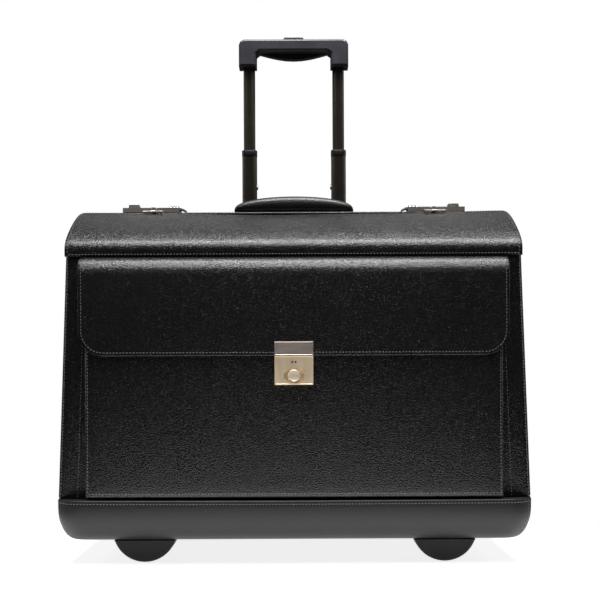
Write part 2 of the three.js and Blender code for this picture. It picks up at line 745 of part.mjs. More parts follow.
addPair("foot", foot(), PLASTIC);
addPair("wheel_housing", wheelHousing(), PLASTIC);
const axle = rodAlongX(AXLE_RADIUS, -housingOuter + 0.4, -housingInner - 0.4, WHEEL_Y, WHEEL_RADIUS);
addPair("axle", axle, STEEL);
addPair("tyre", tyre(), RUBBER);
addPair("hub", hub(), PLASTIC);

// ---- the telescopic pull handle ----

// A rounded rectangular tube standing on the left.
function tube({ wide, deep, wall, low, high }) {
  const outer = roundedRectangle(-TUBE_X - wide / 2, wide / 2 - TUBE_X,
    TUBE_Y - deep / 2, TUBE_Y + deep / 2, 4);
  const bore = roundedRectangle(
    -TUBE_X - wide / 2 + wall,
    wide / 2 - TUBE_X - wall,
    TUBE_Y - deep / 2 + wall,
    TUBE_Y + deep / 2 - wall,
    4 - wall,
  );
  outer.holes.push(new THREE.Path(bore.getPoints(3).reverse()));
  return alongZ(outer, low, high, { curveSegments: 3 });
}

const snapFace = -TUBE_X + LOWER_TUBE.wide / 2;

function lowerTube() {
  const hole = rodAlongX(SNAP_RADIUS + 0.3, snapFace - 3, snapFace + 2, TUBE_Y, SNAP_Z, 12);
  return combine(tube(LOWER_TUBE), { cut: [hole] });
}

// The bezel that the tubes rise through, with room for the snap buttons.
function trolleyBezel() {
  const plate = alongZ(roundedRectangle(-74, 74, 94, COVER_FACE - 0.5, 6), SHELF_TOP + GAP, SHELF_TOP + 4, {
    curveSegments: 3,
  });
  const holes = [-1, 1].map((side) => {
    const ends = [side * (TUBE_X + LOWER_TUBE.wide / 2 + 0.5), side * (TUBE_X - LOWER_TUBE.wide / 2 - 1.8)];
    const half = LOWER_TUBE.deep / 2 + 0.5;
    return block(Math.min(...ends), Math.max(...ends), TUBE_Y - half, TUBE_Y + half, 0, SHELF_TOP + 9);
  });
  return combine(plate, { cut: holes });
}

function gripBlank(belly) {
  const round = 4;
  const under = GRIP_TOP - GRIP_BAR;
  const reach = GRIP_HALF - GRIP_LEG - 4;
  const lowerEdge = [];
  const steps = belly > 0 ? 8 : 1;
  for (let i = 0; i <= steps; i++) {
    const across = (2 * i) / steps - 1;
    lowerEdge.push([reach * across, under - belly * Math.cos((Math.PI / 2) * across)]);
  }
  const outline = [
    [-GRIP_HALF, GRIP_BOTTOM],
    [-GRIP_HALF + GRIP_LEG, GRIP_BOTTOM],
    [-GRIP_HALF + GRIP_LEG, under - 3],
    ...lowerEdge,
    [GRIP_HALF - GRIP_LEG, under - 3],
    [GRIP_HALF - GRIP_LEG, GRIP_BOTTOM],
    [GRIP_HALF, GRIP_BOTTOM],
    [GRIP_HALF, GRIP_TOP - 6],
    [GRIP_HALF - 2, GRIP_TOP - 2],
    [GRIP_HALF - 6, GRIP_TOP],
    [-GRIP_HALF + 6, GRIP_TOP],
    [-GRIP_HALF + 2, GRIP_TOP - 2],
    [-GRIP_HALF, GRIP_TOP - 6],
  ];
  return alongY(shapeOf(outline), TUBE_Y - GRIP_HALF_DEPTH + round, TUBE_Y + GRIP_HALF_DEPTH - round, {
    bevelEnabled: true,
    bevelThickness: round,
    bevelSize: 2.5,
    bevelOffset: -2.5,
    bevelSegments: 2,
  });
}

const yoke = { low: 581.5, high: 584.5, half: 56, deep: 3.5 };

// Half of the grip: a shell around the tube ends, the yoke and the release button.
function gripShell(y0, y1, belly) {
  const wide = UPPER_TUBE.wide / 2 + 0.3;
  const deep = UPPER_TUBE.deep / 2 + 0.3;
  const sockets = [-TUBE_X, TUBE_X].map((x) =>
    block(x - wide, x + wide, TUBE_Y - deep, TUBE_Y + deep, GRIP_BOTTOM - OVERRUN, UPPER_TUBE.high + 0.5),
  );
  const channel = block(-yoke.half - 3, yoke.half + 3, TUBE_Y - 4, TUBE_Y + 4,
    yoke.low - 3.6, yoke.high + 0.8);
  const rodRooms = [-TUBE_X, TUBE_X].map((x) =>
    block(x - 3, x + 3, TUBE_Y - 3, TUBE_Y + 3, UPPER_TUBE.high - 3, yoke.low),
  );
  const buttonRoom = block(-13.6, 13.6, TUBE_Y - 5.6, TUBE_Y + 5.6, yoke.low - 3.6, GRIP_TOP + OVERRUN);
  const reach = GRIP_HALF + OVERRUN;
  const others = [
    block(-reach, reach, y1, y1 + 60, GRIP_BOTTOM - OVERRUN, GRIP_TOP + OVERRUN),
    block(-reach, reach, y0 - 60, y0, GRIP_BOTTOM - OVERRUN, GRIP_TOP + OVERRUN),
  ];
  return combine(gripBlank(belly), { cut: [...sockets, channel, ...rodRooms, buttonRoom, ...others] });
}

function releaseButton() {
  const button = alongY(
    shapeOf([
      [-13, yoke.low],
      [13, yoke.low],
      [13, GRIP_TOP + 0.5],
      [11, RELEASE_TOP],
      [-11, RELEASE_TOP],
      [-13, GRIP_TOP + 0.5],
    ]),
    TUBE_Y - 5,
    TUBE_Y + 5,
  );
  const bar = block(-yoke.half, yoke.half, TUBE_Y - yoke.deep, TUBE_Y + yoke.deep, yoke.low, yoke.high);
  return combine(button, { join: [bar] });
}

addPair("outer_tube", tube(OUTER_TUBE), STEEL);
add("tube_bracket", block(-BRACKET_HALF, BRACKET_HALF, 94, 113, BRACKET_LOW, OUTER_TUBE.low - GAP), PLASTIC);
add("trolley_bezel", trolleyBezel(), PLASTIC);
addPair("lower_tube", lowerTube(), BLACK_TUBE);
addPair("snap_button", rodAlongX(SNAP_RADIUS, snapFace - 0.7, snapFace + 1.3, TUBE_Y, SNAP_Z, 12), STEEL);
addPair("upper_tube", tube(UPPER_TUBE), BLACK_TUBE);
add("grip_front", gripShell(TUBE_Y - 20, TUBE_Y - 0.2, 0), PLASTIC);
add("grip_rear", gripShell(TUBE_Y + 0.2, TUBE_Y + 20, GRIP_BELLY), PLASTIC);
add("release_button", releaseButton(), PLASTIC);
addPair("release_rod", rodAlongZ(1.8, UPPER_TUBE.low + 10, yoke.low - GAP, -TUBE_X, TUBE_Y, 8), STEEL);

export default flightCase;
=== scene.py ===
import math

import bpy
from mathutils import Matrix, Vector


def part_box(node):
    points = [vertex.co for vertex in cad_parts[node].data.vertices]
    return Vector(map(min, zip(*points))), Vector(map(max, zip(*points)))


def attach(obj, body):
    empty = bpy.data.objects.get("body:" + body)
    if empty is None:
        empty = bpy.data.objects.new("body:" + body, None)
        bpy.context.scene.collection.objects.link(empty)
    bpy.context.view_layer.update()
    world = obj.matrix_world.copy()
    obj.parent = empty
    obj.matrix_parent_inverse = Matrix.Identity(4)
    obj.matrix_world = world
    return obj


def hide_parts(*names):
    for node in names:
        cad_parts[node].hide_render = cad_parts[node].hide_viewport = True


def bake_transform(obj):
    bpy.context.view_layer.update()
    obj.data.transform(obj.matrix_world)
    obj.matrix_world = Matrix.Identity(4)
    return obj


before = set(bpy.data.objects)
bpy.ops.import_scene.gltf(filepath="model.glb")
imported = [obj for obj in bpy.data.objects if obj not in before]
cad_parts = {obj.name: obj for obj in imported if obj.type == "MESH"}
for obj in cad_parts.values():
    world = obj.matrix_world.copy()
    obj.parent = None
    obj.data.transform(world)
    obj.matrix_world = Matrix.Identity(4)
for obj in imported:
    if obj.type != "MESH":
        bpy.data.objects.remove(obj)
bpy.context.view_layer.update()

MM = 0.001
TOUCH = 0.001 * MM

# ---------------------------------------------------------------- materials


class Socket:
    """An output socket that takes part in sums, and adds the Math nodes for them."""

    def __init__(self, maker, out):
        self.maker = maker
        self.out = out

    def math(self, operation, *values):
        return self.maker.node("ShaderNodeMath", {"operation": operation}, *values)

    def __add__(self, other):
        return self.math("ADD", self, other)

    def __radd__(self, other):
        return self.math("ADD", other, self)

    def __sub__(self, other):
        return self.math("SUBTRACT", self, other)

    def __rsub__(self, other):
        return self.math("SUBTRACT", other, self)

    def __mul__(self, other):
        return self.math("MULTIPLY", self, other)

    def clamp(self):
        return self.maker.node("ShaderNodeClamp", {}, self)


class Material:
    """A material whose nodes are added by calls."""

    def __init__(self, name):
        self.material = bpy.data.materials.new(name)
        self.material.use_nodes = True
        self.tree = self.material.node_tree
        self.shader = self.tree.nodes["Principled BSDF"]

    def node(self, kind, settings, *values, output=0, **named):
        made = self.tree.nodes.new(kind)
        for key, value in settings.items():
            setattr(made, key, value)
        for index, value in enumerate(values):
            self.feed(made.inputs[index], value)
        for key, value in named.items():
            self.feed(made.inputs[key.replace("_", " ")], value)
        return Socket(self, made.outputs[output])

    def feed(self, socket, value):
        if isinstance(value, Socket):
            self.tree.links.new(value.out, socket)
        else:
            socket.default_value = value

    def place(self, stretch=(1, 1, 1)):
        """Object coordinates, stretched along the axes."""
        where = self.node("ShaderNodeTexCoord", {}, output=3)
        return self.node("ShaderNodeMapping", {}, Vector=where, Scale=stretch)

    def noise(self, where, scale, detail=3.0):
        return self.node("ShaderNodeTexNoise", {}, Vector=where, Scale=scale, Detail=detail,
                         Roughness=0.55)

    def waves(self, direction, scale, distortion=0.0):
        return self.node("ShaderNodeTexWave", {"bands_direction": direction}, Vector=self.place(),
                         Scale=scale, Distortion=distortion)

    def blend(self, share, first, second):
        mixer = self.tree.nodes.new("ShaderNodeMix")
        mixer.data_type = "RGBA"
        self.feed(mixer.inputs["Factor"], share)
        for socket, colour in ((mixer.inputs[6], first), (mixer.inputs[7], second)):
            self.feed(socket, colour if isinstance(colour, Socket) else (*colour, 1))
        return Socket(self, mixer.outputs[2])

    def bump(self, height, depth, strength=1.0):
        return self.node("ShaderNodeBump", {}, Strength=strength, Distance=depth, Height=height)

    def finish(self, **values):
        for key, value in values.items():
            self.feed(self.shader.inputs[key.replace("_", " ")], value)
        return self.material


def leather(name, dark, light, roughness, grain=1.0, shine=1.0):
    """Coated leather with a pebble grain: rounded cells, fine creases, rubbed a little unevenly."""
    m = Material(name)
    where = m.place()
    drift = m.node("ShaderNodeTexNoise", {}, Vector=where, Scale=380, output=1)
    push = m.node("ShaderNodeVectorMath", {"operation": "SCALE"}, drift, Scale=0.0012)
    bent = m.node("ShaderNodeVectorMath", {"operation": "ADD"}, where, push)
    cells = m.node("ShaderNodeTexVoronoi", {"feature": "SMOOTH_F1"}, Vector=bent, Scale=780,
                   Smoothness=0.25)
    creases = m.node("ShaderNodeTexVoronoi", {"feature": "DISTANCE_TO_EDGE"}, Vector=bent,
                     Scale=470)
    pebble = (1 - cells) * 0.7 + (creases * 5).clamp() * 0.45
    wave = m.noise(where, 9, 2)
    wear = m.noise(where, 34, 4)
    fine = m.noise(where, 2600, 2)
    height = pebble + fine * 0.18
    colour = m.blend((wave * 0.7 + pebble * 0.3).clamp(), dark, light)
    rough = roughness + (wear - 0.5) * 0.08 - pebble * 0.08
    return m.finish(Base_Color=colour, Roughness=rough,
                    Normal=m.bump(height, 0.0005 * grain, 0.65),
                    Specular_IOR_Level=0.5 * shine, Coat_Weight=0.10 * shine, Coat_Roughness=0.25)


def metal(name, dark, light, roughness, stretch, scale=900):
    """Plated metal with a fine satin brush."""
    m = Material(name)
    lines = m.noise(m.place(stretch), scale, 3)
    cloud = m.noise(m.place(), 60, 3)
    return m.finish(Base_Color=m.blend(lines * 0.5 + cloud * 0.5, dark, light), Metallic=1.0,
                    Roughness=roughness + (lines - 0.5) * 0.2 + (cloud - 0.5) * 0.08,
                    Normal=m.bump(lines, 0.00003, 0.5))


def plastic(name, colour, roughness, grain, depth, shine=0.5):
    """Moulded plastic with a light spark-eroded texture and handling marks."""
    m = Material(name)
    where = m.place()
    spark = m.noise(where, grain, 2)
    marks = m.noise(where, 45, 5)
    lighter = tuple(value * 1.7 + 0.003 for value in colour)
    return m.finish(Base_Color=m.blend(marks, colour, lighter),
                    Roughness=roughness + (marks - 0.5) * 0.18,
                    Normal=m.bump(spark, depth, 0.5), Specular_IOR_Level=shine)


def ribbed_tube(name):
    """Black anodised tube, with the bronze cast of its dye and faint drawing lines along it."""
    m = Material(name)
    lines = m.noise(m.place((1, 1, 0.01)), 1500, 2)
    cloud = m.noise(m.place(), 25, 3)
    return m.finish(Base_Color=m.blend(cloud, (0.03, 0.028, 0.026), (0.10, 0.085, 0.065)),
                    Metallic=0.8, Roughness=0.3 + (lines - 0.5) * 0.14,
                    Normal=m.bump(lines, 0.00003, 0.5))


def woven(name, dark, light):
    """Plain-woven lining."""
    m = Material(name)
    warp = m.waves("X", 320.0, 0.3)
    weft = m.waves("Z", 320.0, 0.3)
    slub = m.noise(m.place(), 300, 3)
    weave = warp * weft + slub * 0.3
    return m.finish(Base_Color=m.blend(weave.clamp(), dark, light), Roughness=0.85,
                    Normal=m.bump(weave, 0.0002, 0.6))


def rubber(name):
    """Tyre rubber, fine-pored and a little dusty."""
    m = Material(name)
    fine = m.noise(m.place(), 1800, 3)
    dust = m.noise(m.place(), 70, 4)
    return m.finish(Base_Color=m.blend(dust, (0.012, 0.012, 0.012), (0.035, 0.034, 0.032)),
                    Roughness=0.66 + (dust - 0.5) * 0.2, Normal=m.bump(fine, 0.00008, 0.5))


def thread(name):
    """Twisted sewing thread."""
    m = Material(name)
    twist = m.waves("DIAGONAL", 700.0)
    return m.finish(Base_Color=m.blend(twist, (0.05, 0.05, 0.052), (0.17, 0.17, 0.175)),
                    Roughness=0.5, Normal=m.bump(twist, 0.0001, 0.7))


BODY_LEATHER = leather("body_leather", (0.004, 0.0038, 0.0038), (0.009, 0.0080, 0.0077), 0.30)
BAND_LEATHER = leather("band_leather", (0.009, 0.009, 0.0088), (0.015, 0.015, 0.0145), 0.5,
                       grain=0.7, shine=0.55)
HANDLE_LEATHER = leather("handle_leather", (0.003, 0.003, 0.0035), (0.006, 0.006, 0.0065), 0.36,
                         grain=0.6, shine=0.8)
NICKEL = metal("satin_nickel", (0.46, 0.43, 0.39), (0.72, 0.69, 0.63), 0.36, (0.03, 1, 1))
CHAMPAGNE = metal("champagne_nickel", (0.95, 0.74, 0.50), (1.0, 0.88, 0.64), 0.55, (1, 1, 0.03))
PEARL = metal("button_nickel", (0.95, 0.80, 0.58), (1.0, 0.92, 0.74), 0.56, (1, 1, 1), 1500)
TAUPE = metal("hasp_nickel", (0.62, 0.53, 0.47), (0.76, 0.67, 0.60), 0.46, (0.03, 1, 1))
STEEL = metal("plain_steel", (0.36, 0.36, 0.37), (0.58, 0.58, 0.59), 0.33, (1, 1, 0.05))
TUBE = ribbed_tube("black_tube")
GRIP = plastic("grip_plastic", (0.020, 0.021, 0.025), 0.36, 1500, 0.00006)
PLASTIC = plastic("moulded_plastic", (0.006, 0.006, 0.0065), 0.30, 1500, 0.00006)
FOOT_PLASTIC = plastic("foot_plastic", (0.003, 0.003, 0.0032), 0.5, 900, 0.00003, shine=0.22)
RUBBER = rubber("tyre_rubber")
LINING = woven("lining_cloth", (0.018, 0.018, 0.02), (0.055, 0.055, 0.06))
THREAD = thread("grey_thread")
MARK = plastic("dark_mark", (0.02, 0.018, 0.016), 0.5, 800, 0.00002)

# ---------------------------------------------------------------- modelling helpers


def deselect():
    """Leaves nothing selected."""
    bpy.ops.object.select_all(action="DESELECT")


def only(piece):
    """Makes one piece the selected and active one."""
    deselect()
    piece.select_set(True)
    bpy.context.view_layer.objects.active = piece


def apply_place(piece):
    """Puts a piece's place, turn and size into its mesh."""
    only(piece)
    bpy.ops.object.transform_apply(location=True, rotation=True, scale=True)


def apply_modifier(piece, kind, **settings):
    only(piece)
    modifier = piece.modifiers.new(kind.title(), kind)
    for key, value in settings.items():
        setattr(modifier, key, value)
    bpy.ops.object.modifier_apply(modifier=modifier.name)


def done(piece, name, material, body, replaced=(), angle=40):
    """Names a finished piece, smooths it, gives it its material and sets it on its body."""
    only(piece)
    bpy.ops.object.shade_smooth_by_angle(angle=math.radians(angle))
    piece.name = name
    piece.data.name = name
    piece.data.materials.clear()
    piece.data.materials.append(material)
    if body:
        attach(piece, body)
    if replaced:
        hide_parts(*replaced)
    return piece


def object_mode():
    bpy.ops.object.mode_set(mode="OBJECT")


def edit_all(piece):
    """Enters edit mode with the whole piece selected."""
    only(piece)
    bpy.ops.object.mode_set(mode="EDIT")
    bpy.ops.mesh.select_all(action="SELECT")


def outward(piece):
    """Welds doubled points and turns the faces to one side."""
    edit_all(piece)
    bpy.ops.mesh.remove_doubles(threshold=0.02 * MM)
    bpy.ops.mesh.normals_make_consistent(inside=False)
    object_mode()


def turned_over(piece):
    """Turns every face to its other side."""
    edit_all(piece)
    bpy.ops.mesh.flip_normals()
    object_mode()


def thickened(piece, thickness):
    """A skin gets its leather's thickness inwards."""
    apply_modifier(piece, "SOLIDIFY", thickness=thickness, offset=-1)


def soft_edges(piece, width, segments=2, angle=50):
    """Rounds every edge sharper than an angle in degrees."""
    apply_modifier(piece, "BEVEL", width=width, segments=segments, limit_method="ANGLE",
                   angle_limit=math.radians(angle))


def cut_away(piece, cutter, folded=False):
    """Takes a cutter's shape out of a piece; folded is for a skin that meets itself."""
    apply_modifier(piece, "BOOLEAN", operation="DIFFERENCE", object=cutter, solver="EXACT",
                   use_self=folded)
    bpy.data.objects.remove(cutter)


def grid(columns, rows, place):
    """A grid whose point at shares (u, v) of its sides is put at place(u, v)."""
    deselect()
    bpy.ops.mesh.primitive_grid_add(x_subdivisions=columns, y_subdivisions=rows, size=1)
    piece = bpy.context.object
    for vertex in piece.data.vertices:
        vertex.co = place(vertex.co.x + 0.5, vertex.co.y + 0.5)
    return piece


def box_piece(low, high):
    """A box between two opposite corners."""
    deselect()
    low, high = Vector(low), Vector(high)
    bpy.ops.mesh.primitive_cube_add(size=1, location=(low + high) / 2)
    piece = bpy.context.object
    piece.scale = high - low
    apply_place(piece)
    return piece


def bevel_edges(piece, chosen, width, segments):
    """Rounds the edges whose two ends pass a test."""
    only(piece)
    bpy.ops.object.mode_set(mode="EDIT")
    bpy.ops.mesh.select_mode(type="EDGE")
    bpy.ops.mesh.select_all(action="DESELECT")
    object_mode()
    points = piece.data.vertices
    for edge in piece.data.edges:
        edge.select = bool(chosen(points[edge.vertices[0]].co, points[edge.vertices[1]].co))
    bpy.ops.object.mode_set(mode="EDIT")
    bpy.ops.mesh.bevel(offset=width, segments=segments, profile=0.5, affect="EDGES")
    object_mode()


def edit_faces(piece, chosen):
    """Enters edit mode with just the faces selected whose centre and normal pass a test."""
    only(piece)
    bpy.ops.object.mode_set(mode="EDIT")
    bpy.ops.mesh.select_mode(type="FACE")
    bpy.ops.mesh.select_all(action="DESELECT")
    object_mode()
    for face in piece.data.polygons:
        face.select = bool(chosen(face.center, face.normal))
    bpy.ops.object.mode_set(mode="EDIT")


def rod(radius, depth, centre, sides):
    """A cylinder that lies front to back."""
    deselect()
    bpy.ops.mesh.primitive_cylinder_add(vertices=sides, radius=radius, depth=depth,
                                        location=centre, rotation=(math.pi / 2, 0, 0))
    piece = bpy.context.object
    apply_place(piece)
    return piece


def upright(a, b):
    """Whether an edge from a to b stands straight up."""
    return abs(a.x - b.x) < TOUCH and abs(a.y - b.y) < TOUCH


def lies_at(front):
    """A test for the edges of a piece's front face."""
    return lambda a, b: a.y < front + TOUCH and b.y < front + TOUCH


def path_points(path, pitch):
    """Evenly spaced (point, direction) along a polyline."""
    found = []
    carried = pitch / 2
    for start, end in zip(path, path[1:]):
        start, end = Vector(start), Vector(end)
        length = (end - start).length
        if length < TOUCH / 1000:
            continue
        direction = (end - start) / length
        while carried <= length:
            found.append((start + direction * carried, direction))
            carried += pitch
        carried -= length
    return found


# Half a stitch's length as a share of the pitch, half its width and height, and how far its
# middle stands above the leather.
STITCH_SHARE = 0.36
STITCH_HALF = 0.5 * MM
STITCH_RISE = 0.42 * MM
STITCH_LIFT = 0.05 * MM


def stitches(name, paths, out, body, pitch=3.3 * MM):
    """Rows of lock stitches along paths.

    out is the leather's outward direction, or a function that gives it at a point.
    """
    deselect()
    bpy.ops.mesh.primitive_uv_sphere_add(segments=6, ring_count=4, radius=1)
    model = bpy.context.object
    corners = [vertex.co.copy() for vertex in model.data.vertices]
    faces = [tuple(face.vertices) for face in model.data.polygons]
    points, loops = [], []
    for path in paths:
        for centre, along in path_points(path, pitch):
            up = Vector(out(centre) if callable(out) else out).normalized()
            side = along.cross(up).normalized()
            sizes = (along * (pitch * STITCH_SHARE), side * STITCH_HALF, up * STITCH_RISE)
            turn = Matrix(sizes).transposed()
            first = len(points)
            points += [turn @ corner + centre + up * STITCH_LIFT for corner in corners]
            loops += [tuple(first + index for index in face) for face in faces]
    model.data.clear_geometry()
    model.data.from_pydata(points, [], loops)
    model.data.update()
    return done(model, name, THREAD, body, angle=80)


# ---------------------------------------------------------------- measures taken from the frame

lid_low, lid_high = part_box("front_flap")
rear_low, rear_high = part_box("rear_flap")
base_low, base_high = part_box("base_tray")
panel_low, panel_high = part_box("front_panel")
cover_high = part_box("rear_cover")[1]
pocket_low, pocket_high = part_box("pocket_shell")
flap_low, flap_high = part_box("pocket_flap")
root_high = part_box("pocket_flap_root")[1]

# The lid in side view: upright up to its bend, then an arch from front to rear.
LID_MIDDLE = (lid_low[1] + rear_high[1]) / 2
LID_REACH = (rear_high[1] - lid_low[1]) / 2
LID_TOP = rear_high[2]
LID_BEND = LID_TOP - 43 * MM
LID_CURVE = 1.5
LID_SKIN = 3 * MM
LID_TUCK = 0.9 * MM
LID_SAG = 4.0 * MM
LID_RIPPLE = 0.35 * MM
LID_END_DROP = 0.6 * MM
LID_END = 0.985

SEAM_HALF = lid_high[0] - 0.3 * MM
SEAM_Z = lid_low[2]

# The leather round the box's walls. Between WALL_FRONT and WALL_REAR the end walls rise in an
# arch under the lid. Each front edge carries a sewn strip.
BODY_LOW = panel_low[2]
WRAP_SKIN = 3.2 * MM
WRAP_CORNER = 4.5 * MM
WRAP_BOW = 1.2 * MM
WRAP_BOW_AHEAD = 0.6 * WRAP_BOW
WALL_FRONT = lid_low[1] + 5.5 * MM
WALL_REAR = rear_high[1] - 4.5 * MM
WALL_GAP = 2.2 * MM
STRIP_WIDTH = 20 * MM
STRIP_INSET = 3 * MM


def lid_height(y):
    across = min(1.0, abs(y - LID_MIDDLE) / LID_REACH)
    return LID_BEND + (LID_TOP - LID_BEND) * (1 - across ** LID_CURVE)


def half_width(z):
    """Half the box's width, which widens evenly towards the base."""
    share = max(0.0, (SEAM_Z - z) / (SEAM_Z - BODY_LOW))
    return SEAM_HALF + (panel_high[0] - SEAM_HALF) * share


def even(points, count):
    """A polyline walked in equal steps."""
    lengths = [0.0]
    for start, end in zip(points, points[1:]):
        lengths.append(lengths[-1] + math.dist(start, end))
    steps = []
    at = 0
    for index in range(count + 1):
        goal = lengths[-1] * index / count
        while at < len(lengths) - 2 and lengths[at + 1] < goal:
            at += 1
        share = (goal - lengths[at]) / max(1e-12, lengths[at + 1] - lengths[at])
        steps.append(tuple(a + (b - a) * share for a, b in zip(points[at], points[at + 1])))
    return steps


def softened(points, rounds):
    """Corners rounded by cutting them again and again; the ends stay."""
    for _ in range(rounds):
        cut = [points[0]]
        for start, end in zip(points, points[1:]):
            cut.append(tuple(a * 0.75 + b * 0.25 for a, b in zip(start, end)))
            cut.append(tuple(a * 0.25 + b * 0.75 for a, b in zip(start, end)))
        points = cut + [points[-1]]
    return points


# ---------------------------------------------------------------- camera, floor and lights


def camera_and_studio():
    """A camera square to the front, soft lights, a small pale floor and a white surround."""
    eye = bpy.data.objects.new("camera", bpy.data.cameras.new("camera"))
    bpy.context.collection.objects.link(eye)
    eye.location = (0.006, -1.210, 0.1915)
    eye.rotation_euler = (math.radians(90), math.radians(0.25), 0)
    eye.data.lens = 66
    eye.data.sensor_width = 36
    eye.data.shift_y = 0.125
    bpy.context.scene.camera = eye

    def soft_light(name, place, aim, size, power, tint=(1, 1, 1)):
        lamp = bpy.data.lights.new(name, "AREA")
        lamp.shape = "RECTANGLE"
        lamp.size, lamp.size_y = size
        lamp.energy = power
        lamp.color = tint
        holder = bpy.data.objects.new(name, lamp)
        bpy.context.collection.objects.link(holder)
        holder.location = place
        along = Vector(aim) - Vector(place)
        holder.rotation_euler = along.to_track_quat("-Z", "Y").to_euler()

    soft_light("overhead", (0.05, -0.3, 1.6), (0, 0, 0.3), (1.3, 0.4), 42, (0.97, 0.97, 1))
    soft_light("front_high", (0.1, -1.1, 1.7), (0, 0, 0.25), (1.0, 0.4), 9, (1, 0.93, 0.88))
    soft_light("left_strip", (-1.5, 0.1, 0.7), (0, 0, 0.25), (0.4, 1.2), 4)
    soft_light("right_strip", (1.5, 0.1, 0.7), (0, 0, 0.25), (0.4, 1.2), 4)
    soft_light("rear_high", (0, 1.5, 1.5), (0, 0, 0.2), (1.4, 0.6), 1.8)

    deselect()
    bpy.ops.mesh.primitive_circle_add(vertices=96, radius=0.38, fill_type="NGON",
                                      location=(0, 0, -0.5 * MM))
    floor = bpy.context.object
    floor.name = "floor"
    white = Material("pale_floor")
    mottle = white.noise(white.place(), 3, 2)
    pale = white.blend(mottle, (0.9, 0.9, 0.9), (0.93, 0.93, 0.93))
    floor.data.materials.append(white.finish(Base_Color=pale, Roughness=0.6,
                                             Emission_Color=(1, 1, 1, 1), Emission_Strength=0.82))

    world = bpy.data.worlds.new("studio")
    bpy.context.scene.world = world
    world.use_nodes = True
    tree = world.node_tree
    path = tree.nodes.new("ShaderNodeLightPath")
    sky = tree.nodes["Background"]
    sky.inputs["Color"].default_value = (1, 1, 1, 1)
    sky.inputs["Strength"].default_value = 0.035
    backdrop = tree.nodes.new("ShaderNodeBackground")
    backdrop.inputs["Color"].default_value = (1, 1, 1, 1)
    mixer = tree.nodes.new("ShaderNodeMixShader")
    tree.links.new(path.outputs["Is Camera Ray"], mixer.inputs[0])
    tree.links.new(sky.outputs[0], mixer.inputs[1])
    tree.links.new(backdrop.outputs[0], mixer.inputs[2])
    tree.links.new(mixer.outputs[0], tree.nodes["World Output"].inputs["Surface"])
    bpy.context.scene.view_settings.view_transform = "Standard"


# ---------------------------------------------------------------- the box


def perimeter(share, x, front, rear, radius):
    """A point of a rounded rectangle in plan, at a share of its outline from the front's middle."""
    half, side = x - radius, rear - front - 2 * radius
    arc = math.pi / 2 * radius
    lengths = [half, arc, side, arc, 2 * half, arc, side, arc, half]
    goal = share * sum(lengths)
    part = 0
    while part < len(lengths) - 1 and goal > lengths[part]:
        goal -= lengths[part]
        part += 1
    right, back, ahead = half, rear - radius, front + radius
    if part == 0:
        return goal, front
    if part == 2:
        return x, ahead + goal
    if part == 4:
        return right - goal, rear
    if part == 6:
        return -x, back - goal
    if part == 8:
        return goal - right, front
    turn = goal / radius + (part - 1) / 2 * (math.pi / 2) - math.pi / 2
    corners = {1: (right, ahead), 3: (right, back), 5: (-right, back), 7: (-right, ahead)}
    cx, cy = corners[part]
    return cx + radius * math.cos(turn), cy + radius * math.sin(turn)


def wall_top(y):
    """The wall's upper edge: level at front and rear, arched under the lid at the ends."""
    if y < WALL_FRONT or y > WALL_REAR:
        return panel_high[2]
    return max(panel_high[2], lid_height(y) - LID_SKIN - WALL_GAP)


def wall_line(side, inset, y, top):
    """Points up a wall's side edge, an inset in from it."""
    heights = [BODY_LOW + (top - BODY_LOW) * i / 12 for i in range(13)]
    return [(side * (half_width(z) - inset), y, z) for z in heights]


def body_wrap():
    """One piece of leather round the box's four walls, with its front strips and rear edges sewn."""
    front, rear = panel_low[1], cover_high[1]

    def place(u, v):
        x, y = perimeter(u, SEAM_HALF, front, rear, WRAP_CORNER)
        z = BODY_LOW + (wall_top(y) - BODY_LOW) * v
        bow = math.sin(math.pi * v) * (1 - (abs(x) / SEAM_HALF) ** 6)
        y += -WRAP_BOW_AHEAD * bow if y < 0 else WRAP_BOW * bow
        return x * half_width(z) / SEAM_HALF, y, z

    wrap = grid(260, 36, place)
    outward(wrap)
    thickened(wrap, WRAP_SKIN)
    soft_edges(wrap, 0.9 * MM)
    done(wrap, "body_wrap", BODY_LEATHER, "case",
         ("front_panel", "rear_cover", "end_panel_left", "end_panel_right"), angle=50)

    rows = [wall_line(side, inset, front - 0.1 * MM, SEAM_Z - 5 * MM)
            for side in (-1, 1) for inset in (STRIP_INSET, STRIP_WIDTH)]
    stitches("front_strip_stitches", rows, (0, -1, 0), "case")
    rows = [wall_line(side, 9 * MM, rear + 1 * MM, panel_high[2] - 5 * MM) for side in (-1, 1)]
    stitches("rear_edge_stitches", rows, (0, 1, 0), "case")


BAND_CORNER = 26 * MM
BAND_ROUND = 14 * MM
BAND_SWEEP = 42 * MM
BAND_ROUND_HIGH = 36 * MM
BAND_SKIN = 2.8 * MM
BAND_DIP = 0.8 * MM
BAND_SEAM = 3.6 * MM
WELL_GAP = 0.4 * MM
WELL_BACK = 200 * MM
HOUSINGS = [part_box("wheel_housing_left"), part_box("wheel_housing_right")]


def band_profile():
    """The base's outer line over its ledge, down its wall and under.

    Each row is (inset at the front, inset elsewhere, z).
    """
    low, top = base_low[2], base_high[2]
    line = [(17 * MM, 4 * MM, top), (9 * MM, 2.8 * MM, top), (1.6 * MM, 1.6 * MM, top),
            (0.5 * MM, 0.5 * MM, top - 0.4 * MM), (0, 0, top - 1.5 * MM),
            (0, 0, low + BAND_ROUND_HIGH)]
    for i in range(1, 11):
        turn = math.pi / 2 * i / 10
        share = 1 - math.cos(turn)
        line.append((BAND_SWEEP * share, BAND_ROUND * share,
                     low + BAND_ROUND_HIGH * (1 - math.sin(turn))))
    return line


def band_dip(x, y):
    """The ledge's slight sag along the front, most in the middle."""
    return BAND_DIP * max(0.0, math.cos(x / base_high[0] * math.pi / 2)) if y < 0 else 0


